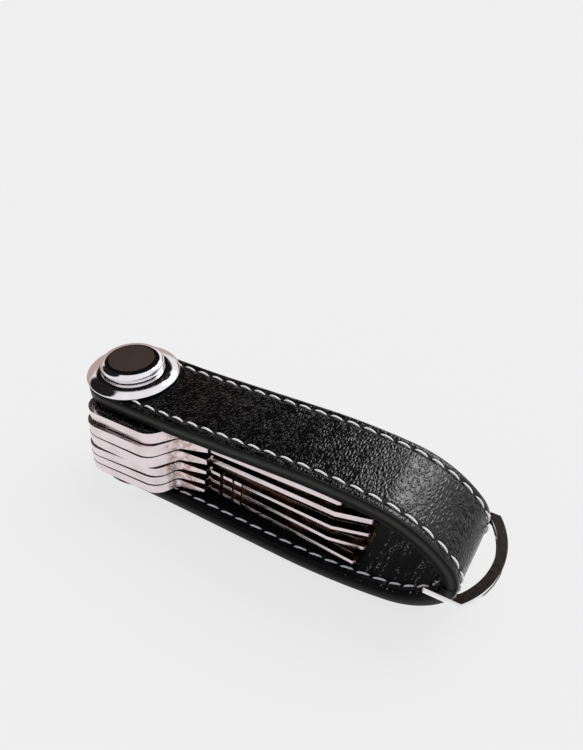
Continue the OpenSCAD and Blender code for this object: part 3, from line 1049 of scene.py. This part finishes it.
    def _creases(self, way: Array, across: Array) -> Array:
        """Height of the lining's creases across the strap, where the fold squeezes it.

        Each crease is the top of a sine, bent by a slower sine across the strap, and fades out
        away from the fold.

        Args:
            way: Way along the outer face.
            across: Distance from the middle of the strap.

        Returns:
            Height at each point.
        """
        phase = (2 * np.pi * way / self.crease_pitch + 0.9 * np.sin(0.45 * across)
                 + 0.8 * np.sin(0.21 * way))
        ridge = np.maximum(np.sin(phase), 0)**2
        uneven = 0.6 + 0.4 * np.sin(1.1 * across + 0.7 * way)
        return self.crease * self._folded(way) * ridge * uneven

    def _folded(self, way: Array) -> Array:
        """Bell curve along the strap.

        Args:
            way: Way along the outer face.

        Returns:
            1 in the fold, 0 away from it.
        """
        start = self.path.chain[0]
        middle = (start[5] + start[6]) / 2 + self.fold_past_nose
        reach = (start[7] - start[4]) / 2
        return np.exp(-((way - middle) / reach)**4)

    def _layer(self, layer: Layer, finish: Finish) -> None:
        """Carries a layer's half section round the strap's plan and lays it along the fold.

        Args:
            layer: The layer.
            finish: Its finish.
        """
        start, along, over, bore = self._plan(layer.step)
        share, past, depth, where, edge = self._section(layer).T[..., None]
        radius = bore + share * (self.plain_half - bore) + past
        way = start + radius * along
        across = radius * over
        depth = np.broadcast_to(depth, way.shape).copy()
        if layer.top == 0:
            depth += (where > 0) * (self._groove(way, across) + self._waves(way, across))
        if layer.bottom == self.thickness:
            depth -= (where < 0) * (self._groove(way, across) - self._creases(way, across))
        rows, columns = way.shape
        quads = grid_quads(rows, columns, True, True).reshape(rows, columns, 4)
        walled = (bore > 0) | (np.roll(bore, -1) > 0)
        quads = np.concatenate([quads[:-1].reshape(-1, 4), quads[-1][walled]])
        piece = make_piece(layer.name, self.path.lay(way, across, depth), quads, finish,
                           {"way": way, "across": across, "depth": depth,
                            "creased": self._folded(way),
                            "edge": np.broadcast_to(edge, way.shape)})
        self._paint_edge(piece.data)
        settle(piece, self.body, layer.slot, layer.node)

    @staticmethod
    def _paint_edge(mesh: bpy.types.Mesh) -> None:
        """Gives the paint to the faces whose corners lie, on average, on the edge.

        Args:
            mesh: The layer's mesh, with an "edge" mark on its vertices.
        """
        mark = np.empty(len(mesh.vertices))
        mesh.attributes["edge"].data.foreach_get("value", mark)
        first = np.empty(len(mesh.polygons), dtype=np.int32)
        corner = np.empty(len(mesh.loops), dtype=np.int32)
        mesh.polygons.foreach_get("loop_start", first)
        mesh.loops.foreach_get("vertex_index", corner)
        sides = np.diff(np.append(first, len(corner)))
        painted = np.add.reduceat(mark[corner], first) / sides > 0.5
        mesh.materials.append(EdgePaint("edge_paint").material())
        mesh.polygons.foreach_set("material_index", painted.astype(np.int32))

    def _stitches(self, side: Side) -> None:
        """Makes the stitches of one row on both faces of the strap.

        Args:
            side: The long side that the row follows.
        """
        start = self.starts[side]
        count = int((self.path.length - 2 * start) / self.pitch) + 1
        ways = start + self.pitch * np.arange(count)
        outer = self._threads(ways, side, Face.OUTER)
        inner = self._threads(ways, side, Face.INNER)
        points, along, turn = (np.concatenate(pair) for pair in zip(outer, inner))
        total, rings, sides = points.shape[:3]
        one = grid_quads(rings, sides, False, True)
        quads = (one[None] + (np.arange(total) * rings * sides)[:, None, None]).reshape(-1, 4)
        node = f"stitching_{side.name.lower()}"
        piece = make_piece(f"thread_{side.name.lower()}", points, quads,
                           WaxedThread("waxed_thread"), {"along": along, "turn": turn}, 180.0)
        settle(piece, self.body, "thread", node)

    def _threads(self, ways: Array, side: Side, face: Face) -> tuple[Array, Array, Array]:
        """Threads of one row on one face.

        Each thread is a closed tube. Its middle line arches over the groove as one minus the
        square of the way along it, and its width falls to nothing at both ends. A thread that
        runs under the flange ends there.

        Args:
            ways: Way of the middle of each stitch.
            side: The long side.
            face: The face of the strap.

        Returns:
            Places by stitch, ring and side, and the way along the row and turn round the thread.
        """
        ring = np.linspace(-1, 1, self.thread_rings)[None, :, None]
        turn = (np.arange(self.thread_sides) * 2 * np.pi / self.thread_sides)[None, None, :]
        bare = math.sqrt(self.covered_r**2 - self.row_at**2)
        first = np.maximum(ways - self.stitch_len / 2, bare)
        last = np.minimum(ways + self.stitch_len / 2, self.path.length - bare)
        kept = last - first > self.least_len
        first, last = (ends[kept][:, None, None] for ends in (first, last))
        full = np.sqrt(np.maximum(1 - np.abs(ring)**self.blunt, 0))
        half = self.thread_half * full
        rise = self.arch if face is Face.OUTER else self.inner_arch
        middle = rise * (1 - ring**2) - self.sunk
        shape = (len(first), ring.size, turn.size)
        way = np.broadcast_to((first + last) / 2 + ring * (last - first) / 2, shape)
        slant = self.slant * ring
        across = np.broadcast_to(side.value * self.row_at + slant + half * np.cos(turn), shape)
        up = np.broadcast_to(middle + half * self.thread_flat * np.sin(turn), shape)
        depth = -up if face is Face.OUTER else self.thickness + up
        points = self.path.lay(way, across, depth)
        points[..., 2] = np.maximum(points[..., 2], self.least_z)
        return points, way, np.broadcast_to(turn, shape)


# Clamp


@dataclass
class Clamp:
    """The screw post: flanges, button screw, barrel, spacers and washers, all turned parts."""

    shank_r: float = 1.7
    barrel_r: float = 2.5
    flange_r: float = 9.2
    flange_seat_r: float = 6.6
    flange_flat_r: float = 6.45
    flange_lift: float = 0.42
    flange_rim: float = 0.14
    flange_bulge: float = 0.74
    foot_flange_r: float = 9.0
    foot_r: float = 6.5
    button_r: float = 6.3
    button_flat_r: float = 4.3
    button_drop: float = 1.0
    lock_r: float = 5.6
    washer_r: float = 4.5
    loose: float = 0.2
    snug: float = 0.08
    bore_fit: float = 0.05
    eased: float = 0.05
    softened: float = 0.2
    chrome: Finish = PolishedMetal("bright_chrome")
    body: str = "strap"

    def build(self) -> None:
        """Makes every turned part."""
        self._top_flange()
        self._button()
        self._barrel()
        self._foot_flange()
        steel = SlipWasher("dark_steel", (0.035, 0.033, 0.034), 1.0)
        self._ring("lock_ring", "lock_washer", "dark_steel", steel, self.lock_r,
                   self.shank_r + self.loose)
        stock = SlipWasher("washer_stock")
        for name in ["top_spacer", "bottom_spacer"] + [f"washer_{n}" for n in range(1, 6)]:
            self._ring(f"{name}_disc", name, "washer", stock, self.washer_r,
                       self.barrel_r + self.snug)

    def _ring(self, name: str, node: str, slot: str, finish: Finish, radius: float,
              hole: float) -> None:
        """A flat ring with eased edges between the heights of its node.

        Args:
            name: Name of the piece.
            node: The node that it replaces.
            slot: Material slot.
            finish: Finish.
            radius: Outer radius.
            hole: Radius of the hole.
        """
        low, high = span(node)
        ease = min(0.06, (high - low) * 0.3)
        profile = rounded([(hole, low, ease), (radius, low, ease), (radius, high, ease),
                           (hole, high, ease)], 3, 0.01)
        settle(lathe(name, profile, finish, 96), self.body, slot, node)

    def _top_flange(self) -> None:
        """Dished washer: flat under the button, then a slope that falls to a thin raised rim.

        The slope is a quarter of a superellipse: cosine and sine to the power of the bulge.
        """
        low, high = span("top_flange")
        hole = self.shank_r + self.loose
        edge = low + self.flange_lift + self.flange_rim
        angle = np.radians(np.linspace(0, 90, 40))[1:]
        curve = np.stack([
            self.flange_flat_r + (self.flange_r - self.flange_flat_r)
            * np.cos(angle)**(2 * self.flange_bulge),
            edge + (high - edge) * np.sin(angle)**(2 * self.flange_bulge)], -1)
        rim = rounded([(hole, low, self.eased), (self.flange_seat_r, low, 0.4),
                       (self.flange_r, low + self.flange_lift, 0.09),
                       (self.flange_r, edge, 0.0)], 4, 0.02)
        top = np.array([[self.flange_flat_r - self.eased, high], [hole, high]])
        profile = np.concatenate([rim, curve, top])
        settle(lathe("dished_flange", profile, self.chrome, 160), self.body, "chrome", "top_flange")

    def _button(self) -> None:
        """Button head on its shank: a small undercut, an upright side and an elliptic shoulder."""
        low, high = span("locking_screw")
        base = span("lock_washer")[1]
        under = (high - base) / 9
        neck_r = (self.lock_r + self.button_r) / 2
        angle = np.radians(np.linspace(0, 90, 24))
        shoulder = np.stack([
            self.button_flat_r + (self.button_r - self.button_flat_r) * np.cos(angle),
            high - self.button_drop * (1 - np.sin(angle))], -1)
        profile = np.concatenate([
            [[0, low], [self.shank_r - 0.25, low], [self.shank_r, low + 0.25],
             [self.shank_r, base - 0.02], [self.shank_r + 0.02, base],
             [neck_r - 0.06, base], [neck_r, base + 0.03],
             [self.button_r - self.eased, base + under - 0.03],
             [self.button_r, base + under + 0.03]],
            shoulder, [[self.button_flat_r - self.eased, high], [0, high]]])
        piece = lathe("button_screw", profile, self.chrome, 160, holed=False)
        settle(piece, "screw", "chrome", "locking_screw")

    def _barrel(self) -> None:
        """Barrel with a flat foot and a blind bore for the screw."""
        low, high = span("barrel_post")
        foot_top = span("bottom_flange")[0]
        bore_r = self.shank_r + self.bore_fit
        bore_low = span("locking_screw")[0] - 1.0
        profile = np.array([
            [0, low], [self.foot_r - self.softened - 0.04, low], [self.foot_r - self.softened, low],
            [self.foot_r, low + self.softened], [self.foot_r, foot_top - 0.06],
            [self.foot_r - 0.06, foot_top], [self.barrel_r, foot_top],
            [self.barrel_r, high - 0.1], [self.barrel_r - 0.1, high],
            [bore_r, high], [bore_r, bore_low], [0, bore_low]])
        piece = lathe("screw_barrel", profile, self.chrome, 128, holed=False)
        settle(piece, self.body, "chrome", "barrel_post")

    def _foot_flange(self) -> None:
        """Washer under the lower strap end, with a rounded lower rim."""
        low, high = span("bottom_flange")
        hole = self.barrel_r + self.loose
        profile = rounded([(hole, low, self.eased), (self.foot_flange_r, low, 0.22),
                           (self.foot_flange_r, high, 0.06), (hole, high, self.eased)], 5, 0.02)
        piece = lathe("foot_flange", profile, self.chrome, 160)
        settle(piece, self.body, "chrome", "bottom_flange")


# Keys


@dataclass(frozen=True)
class Blank:
    """How a key lies in the stack: its turn, its blade's near half width and the land's height."""

    turn_deg: float
    near_hw: float
    land: float


@dataclass
class KeyStack:
    """Six flat keys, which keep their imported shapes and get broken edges."""

    edge: float = 0.11
    edge_steps: int = 2
    edge_least_deg: float = 28.0
    sharp_deg: float = 30.0
    flat_deg: float = 0.6
    waist_x: float = 14.9
    shoulder_x: float = 20.8
    square: float = 0.9
    upright: float = 0.5
    cuts_at: float = 5.5
    cuts_half: float = 4.5
    blanks: tuple[Blank, ...] = (Blank(0.0, 4.4, 1.2), Blank(0.45, 4.53, 1.2),
                                 Blank(-0.8, 3.83, 1.2), Blank(-1.8, 4.05, 0.78),
                                 Blank(-3.3, 3.56, 0.78), Blank(-4.0, 3.56, 0.78))

    def build(self) -> None:
        """Makes one piece for each key."""
        nickel = KeyNickel("key_nickel")
        brass = MilledBrass("milled_brass")
        for n, blank in enumerate(self.blanks, 1):
            self._key(n, blank, nickel, brass)

    def _key(self, n: int, blank: Blank, nickel: Finish, brass: Finish) -> None:
        """Copies a packed key, merges its triangles and breaks its edges.

        Args:
            n: Number of the key, from the top.
            blank: How it lies and how its blade is milled.
            nickel: The finish of its outside.
            brass: The finish of its milled steps, its cuts and its tip.
        """
        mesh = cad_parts[f"key_{n}"].data.copy()
        close_surface(mesh, self.flat_deg)
        piece = dress(bpy.data.objects.new(f"flat_key_{n}", mesh), nickel, self.sharp_deg)
        mesh.materials.append(brass.material())
        mesh.polygons.foreach_set("material_index", self._milled(mesh, n, blank).astype(np.int32))
        bevel = piece.modifiers.new("broken_edges", "BEVEL")
        bevel.width = self.edge * MM
        bevel.segments = self.edge_steps
        bevel.limit_method = "ANGLE"
        bevel.angle_limit = math.radians(self.edge_least_deg)
        bevel.harden_normals = True
        settle(piece, f"key_{n}", "key_metal", f"key_{n}")

    def _milled(self, mesh: bpy.types.Mesh, n: int, blank: Blank) -> Array:
        """Which faces of a key belong to its milled steps, its cuts or its tip.

        The floors and walls of the steps lie past the waist and off the land; the guide cuts lie
        on the near side past the shoulder, and the end faces along the key.

        Args:
            mesh: The key's mesh.
            n: Number of the key.
            blank: How it lies and how its blade is milled.

        Returns:
            True for each such face.
        """
        count = len(mesh.polygons)
        centre = np.empty(count * 3)
        normal = np.empty(count * 3)
        mesh.polygons.foreach_get("center", centre)
        mesh.polygons.foreach_get("normal", normal)
        x, y, z = centre.reshape(-1, 3).T / MM
        turn = math.radians(-blank.turn_deg)
        along = x * math.cos(turn) - y * math.sin(turn)
        across = x * math.sin(turn) + y * math.cos(turn)
        low, high = span(f"key_{n}")
        off = np.abs(z - (low + high) / 2)
        over = np.abs(normal[2::3])
        floor = (over > self.square) & (off < (high - low) / 2 - 0.1) & (along > self.waist_x)
        wall = (along > self.waist_x - 0.2) & (over < self.upright) & (off > blank.land / 2 + 0.05)
        cut = ((normal[1::3] < -0.7) & (across > 0.3 - blank.near_hw) & (across < 0)
               & (np.abs(along - self.shoulder_x - self.cuts_at) < self.cuts_half))
        end = (along > self.shoulder_x + 1.5) & (np.abs(normal[::3]) > self.square) & (across < 3.0)
        return floor | wall | cut | end


# Ring


@dataclass
class FoldRing:
    """Flat D-ring with rounded inner corners, cut from plate with softened edges.

    Its corner radii are those at the straight bar and those at the bow.
    """

    bow_w: float = 1.8
    arm_w: float = 1.4
    bow_r: float = 17.4
    soft: float = 0.22
    outer_corners: tuple[float, float] = (0.35, 0.3)
    inner_corners: tuple[float, float] = (0.7, 1.5)
    body: str = "ring"

    def build(self) -> None:
        """Carries a rounded section round the D: two outlines, joined across top and bottom."""
        low, high = (np.array(corner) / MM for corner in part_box("d_ring"))
        half = (high[1] - low[1]) / 2
        centre = high[0] - self.bow_r
        outer = self._outline(low[0], half, self.bow_r, centre, *self.outer_corners)
        inner = self._outline(low[0] + self.arm_w, half - self.arm_w, self.bow_r - self.bow_w,
                              centre, *self.inner_corners)
        away = self._normals(outer)
        in_away = self._normals(inner)
        angle = np.linspace(0, np.pi / 2, 5)
        inset = self.soft * (1 - np.sin(angle))
        drop = self.soft * (1 - np.cos(angle))
        rows = []
        for side, up in ((1, high[2]), (-1, low[2])):
            rim = [(outer - away * a, up - side * b) for a, b in zip(inset[::-1], drop)]
            lip = [(inner + in_away * a, up - side * b) for a, b in zip(inset, drop[::-1])]
            rows += [self._row(*row) for row in (rim[::-1] + lip[::-1])[::side]]
        points = np.stack(rows)
        quads = grid_quads(len(rows), len(outer), True, True)
        piece = make_piece("fold_ring", points, quads,
                           PolishedMetal("ring_chrome", roughness=0.04, marks=0.03), None, 60.0)
        settle(piece, self.body, "chrome", "d_ring")

    @staticmethod
    def _row(plan: Array, height: float) -> Array:
        """An outline at a height."""
        return np.column_stack([plan, np.full(len(plan), height)])

    @staticmethod
    def _normals(plan: Array) -> Array:
        """Which way is out.

        Args:
            plan: Closed outline that runs anticlockwise.

        Returns:
            Unit vector at each of its points.
        """
        run = np.roll(plan, -1, 0) - np.roll(plan, 1, 0)
        out = np.column_stack([run[:, 1], -run[:, 0]])
        return out / np.linalg.norm(out, axis=1, keepdims=True)

    @staticmethod
    def _outline(left: float, half: float, radius: float, centre: float, back_r: float,
                 front_r: float) -> Array:
        """Outline of a D, anticlockwise from the middle of its straight left side.

        A front corner's arc touches the arm and, from inside, the bow, so its centre lies at the
        bow's radius less its own from the bow's centre.

        Args:
            left: Place of the straight side along X.
            half: Half the width between the arms.
            radius: Radius of the bow.
            centre: Place of the bow's centre along X.
            back_r: Radius of the corners at the straight side.
            front_r: Radius of the corners at the bow.

        Returns:
            Array of points.
        """
        knee_x = centre + math.sqrt((radius - front_r)**2 - (half - front_r)**2)
        knee = math.atan2(half - front_r, knee_x - centre)

        def arc(x: float, y: float, r: float, first: float, last: float, steps: int) -> Array:
            """Points on an arc about (x, y)."""
            angle = np.linspace(first, last, steps)
            return np.column_stack([x + r * np.cos(angle), y + r * np.sin(angle)])

        def line(x0: float, y0: float, x1: float, y1: float, steps: int) -> Array:
            """Points inside a straight run, without its ends."""
            share = np.linspace(0, 1, steps + 2)[1:-1, None]
            return np.array([[x0, y0]]) * (1 - share) + np.array([[x1, y1]]) * share

        back_x = left + back_r
        side_y = half - back_r
        lower = [line(left, 0.0, left, -side_y, 12),
                 arc(back_x, -side_y, back_r, np.pi, 1.5 * np.pi, 7),
                 line(back_x, -half, knee_x, -half, 8),
                 arc(knee_x, -half + front_r, front_r, -np.pi / 2, -knee, 10)]
        bow = arc(centre, 0.0, radius, -knee, knee, 66)[1:-1]
        upper = [part[::-1] * np.array([1, -1]) for part in lower[::-1]]
        return np.concatenate([np.array([[left, 0.0]]), *lower, bow, *upper])


# Studio


@dataclass(frozen=True)
class Card:
    """An oval card that stands in the reflections only, facing the object.

    Turn is measured from +Y towards +X and lift from the horizon, both in degrees.
    """

    name: str
    turn: float
    lift: float
    wide: float
    tall: float
    colour: Colour
    strength: float
    fade: float = 0.25
    way: float = 900.0


@dataclass
class Studio:
    """Pale floor, soft light, reflection cards and the camera at the photograph's angle."""

    floor_half: float = 3000.0
    floor_drop: float = 0.02
    floor_steps: int = 5
    card_steps: int = 17
    middle: Colour = (35.0, 0.0, 12.0)
    focal_px: float = 700.0
    image_tall_px: float = 750.0
    sensor: float = 36.0
    clip_m: tuple[float, float] = (0.005, 20.0)
    eye: Colour = (83.955, -82.400, 107.888)
    yaw: float = -0.5216
    pitch: float = 0.6405
    roll: float = 0.0038
    sky: Colour = (0.60, 0.60, 0.66)
    room: Colour = (0.95, 0.95, 0.97)
    backdrop: Colour = (0.868, 0.868, 0.868)
    sun: Colour = (1.0, 0.99, 0.85)
    sun_strength: float = 1.65
    sun_wide_deg: float = 50.0
    sun_from: Colour = (0.25, 0.55, 0.80)
    cards: tuple[Card, ...] = (
        Card("far_flag", -45.0, 49.0, 1010.0, 1100.0, (0.5, 0.45, 0.45), 0.012, 0.1),
        Card("left_flag", -106.0, 40.0, 1000.0, 900.0, (0.5, 0.45, 0.45), 0.03, 0.2, 890.0),
        Card("top_card", -47.5, 35.4, 200.0, 180.0, (0.62, 0.42, 0.36), 0.1, 0.15, 888.0),
        Card("ring_card", -7.0, 49.9, 250.0, 290.0, (0.62, 0.42, 0.36), 0.025, 0.35, 737.0),
        Card("far_softbox", 13.0, 43.0, 540.0, 520.0, (1.0, 0.98, 0.98), 9.5, 0.85, 760.0),
        Card("right_flag", 62.0, 12.0, 600.0, 360.0, (0.5, 0.48, 0.48), 0.2, 0.35, 800.0),
        Card("left_card", -70.0, 2.0, 190.0, 80.0, (0.66, 0.50, 0.46), 0.8, 0.3, 88.0),
        Card("far_card", -2.0, 9.0, 460.0, 230.0, (0.40, 0.23, 0.14), 0.5, 0.2, 800.0),
    )

    def build(self) -> None:
        """Makes the camera, the floor, the light and the cards."""
        self._camera()
        self._floor()
        self._world()
        self._sun()
        for card in self.cards:
            self._card(card)

    def _camera(self) -> None:
        """Camera from its place, yaw, pitch and roll."""
        ahead = np.array([math.sin(self.yaw) * math.cos(self.pitch),
                          math.cos(self.yaw) * math.cos(self.pitch), -math.sin(self.pitch)])
        right = np.array([math.cos(self.yaw), -math.sin(self.yaw), 0.0])
        up = np.cross(right, ahead)
        tilted = math.cos(self.roll) * right + math.sin(self.roll) * up
        raised = -math.sin(self.roll) * right + math.cos(self.roll) * up
        turn = Matrix(np.column_stack([tilted, raised, -ahead]).tolist()).to_4x4()
        data = bpy.data.cameras.new("photo_camera")
        data.lens = self.focal_px / self.image_tall_px * self.sensor
        data.sensor_width = self.sensor
        data.clip_start, data.clip_end = self.clip_m
        camera = bpy.data.objects.new("photo_camera", data)
        camera.matrix_world = Matrix.Translation([c * MM for c in self.eye]) @ turn
        bpy.context.scene.collection.objects.link(camera)
        bpy.context.scene.camera = camera

    def _floor(self) -> None:
        """Flat sheet of paper at the height of the foot."""
        share = np.linspace(-1, 1, self.floor_steps) * self.floor_half
        x, y = np.meshgrid(share, share)
        points = np.stack([x, y, np.full_like(x, -self.floor_drop)], -1)
        self._staged("floor_paper", points, StudioPaper("studio_paper"))

    @staticmethod
    def _staged(name: str, points: Array, finish: Finish,
                marks: Mapping[str, Array] | None = None) -> bpy.types.Object:
        """Makes a sheet for the studio from a grid of places.

        Args:
            name: Its name.
            points: Grid of places in millimetres.
            finish: Its finish.
            marks: Numbers for each vertex that the finish reads by name.

        Returns:
            The new object.
        """
        sheet = make_piece(name, points, grid_quads(*points.shape[:2]), finish, marks)
        return sheet

    def _card(self, card: Card) -> None:
        """Stands a card at its turn and lift, square to the object.

        Args:
            card: The card.
        """
        turn = math.radians(card.turn)
        lift = math.radians(card.lift)
        out = np.array([math.sin(turn) * math.cos(lift), math.cos(turn) * math.cos(lift),
                        math.sin(lift)])
        right = np.array([math.cos(turn), -math.sin(turn), 0.0])
        up = np.cross(right, out)
        share = np.linspace(-1, 1, self.card_steps)
        u, v = np.meshgrid(share, share)
        points = (np.array(self.middle) + out * card.way + u[..., None] * right * card.wide / 2
                  + v[..., None] * up * card.tall / 2)
        light = CardLight(card.name, card.colour, card.strength, card.fade)
        sheet = self._staged(card.name, points, light, {"rim": 1 - np.hypot(u, v)})
        sheet.visible_camera = False
        sheet.visible_diffuse = False
        sheet.visible_shadow = False
        sheet.visible_transmission = False

    def _world(self) -> None:
        """White where it is seen, plain or in a reflection, and a soft sky where it lights."""
        world = bpy.data.worlds.new("pale_room")
        bpy.context.scene.world = world
        world.use_nodes = True
        s = Shader(world.node_tree)
        light = s.node("ShaderNodeBackground", None, {"Color": self.sky})
        tone = s.blend(s.ray("Camera"), self.room, self.backdrop)
        white = s.node("ShaderNodeBackground", None, {"Color": tone})
        s.finish(s.node("ShaderNodeMixShader", None, {0: s.seen(), 1: light, 2: white}),
                 "ShaderNodeOutputWorld")

    def _sun(self) -> None:
        """A wide soft lamp from the far right, left out of reflections."""
        data = bpy.data.lights.new("soft_lamp", "SUN")
        data.energy = self.sun_strength
        data.color = self.sun
        data.angle = math.radians(self.sun_wide_deg)
        lamp = bpy.data.objects.new("soft_lamp", data)
        lamp.rotation_euler = Vector(self.sun_from).to_track_quat("Z", "Y").to_euler()
        lamp.visible_glossy = False
        bpy.context.scene.collection.objects.link(lamp)


def corners(box: Sequence[Sequence[float]]) -> list[list[float]]:
    """A box as plain lists of numbers."""
    return [[float(value) for value in corner] for corner in box]


def main() -> None:
    """Builds the studio and the object's four assemblies."""
    logging.basicConfig(level=logging.INFO, format="%(name)s: %(message)s")
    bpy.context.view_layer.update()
    bpy.context.scene.view_settings.view_transform = "Standard"
    Studio().build()
    Strap(FoldPath(span("top_flange")[0], span("bottom_flange")[1])).build()
    Clamp().build()
    KeyStack().build()
    FoldRing().build()


if __name__ == "__main__":
    main()
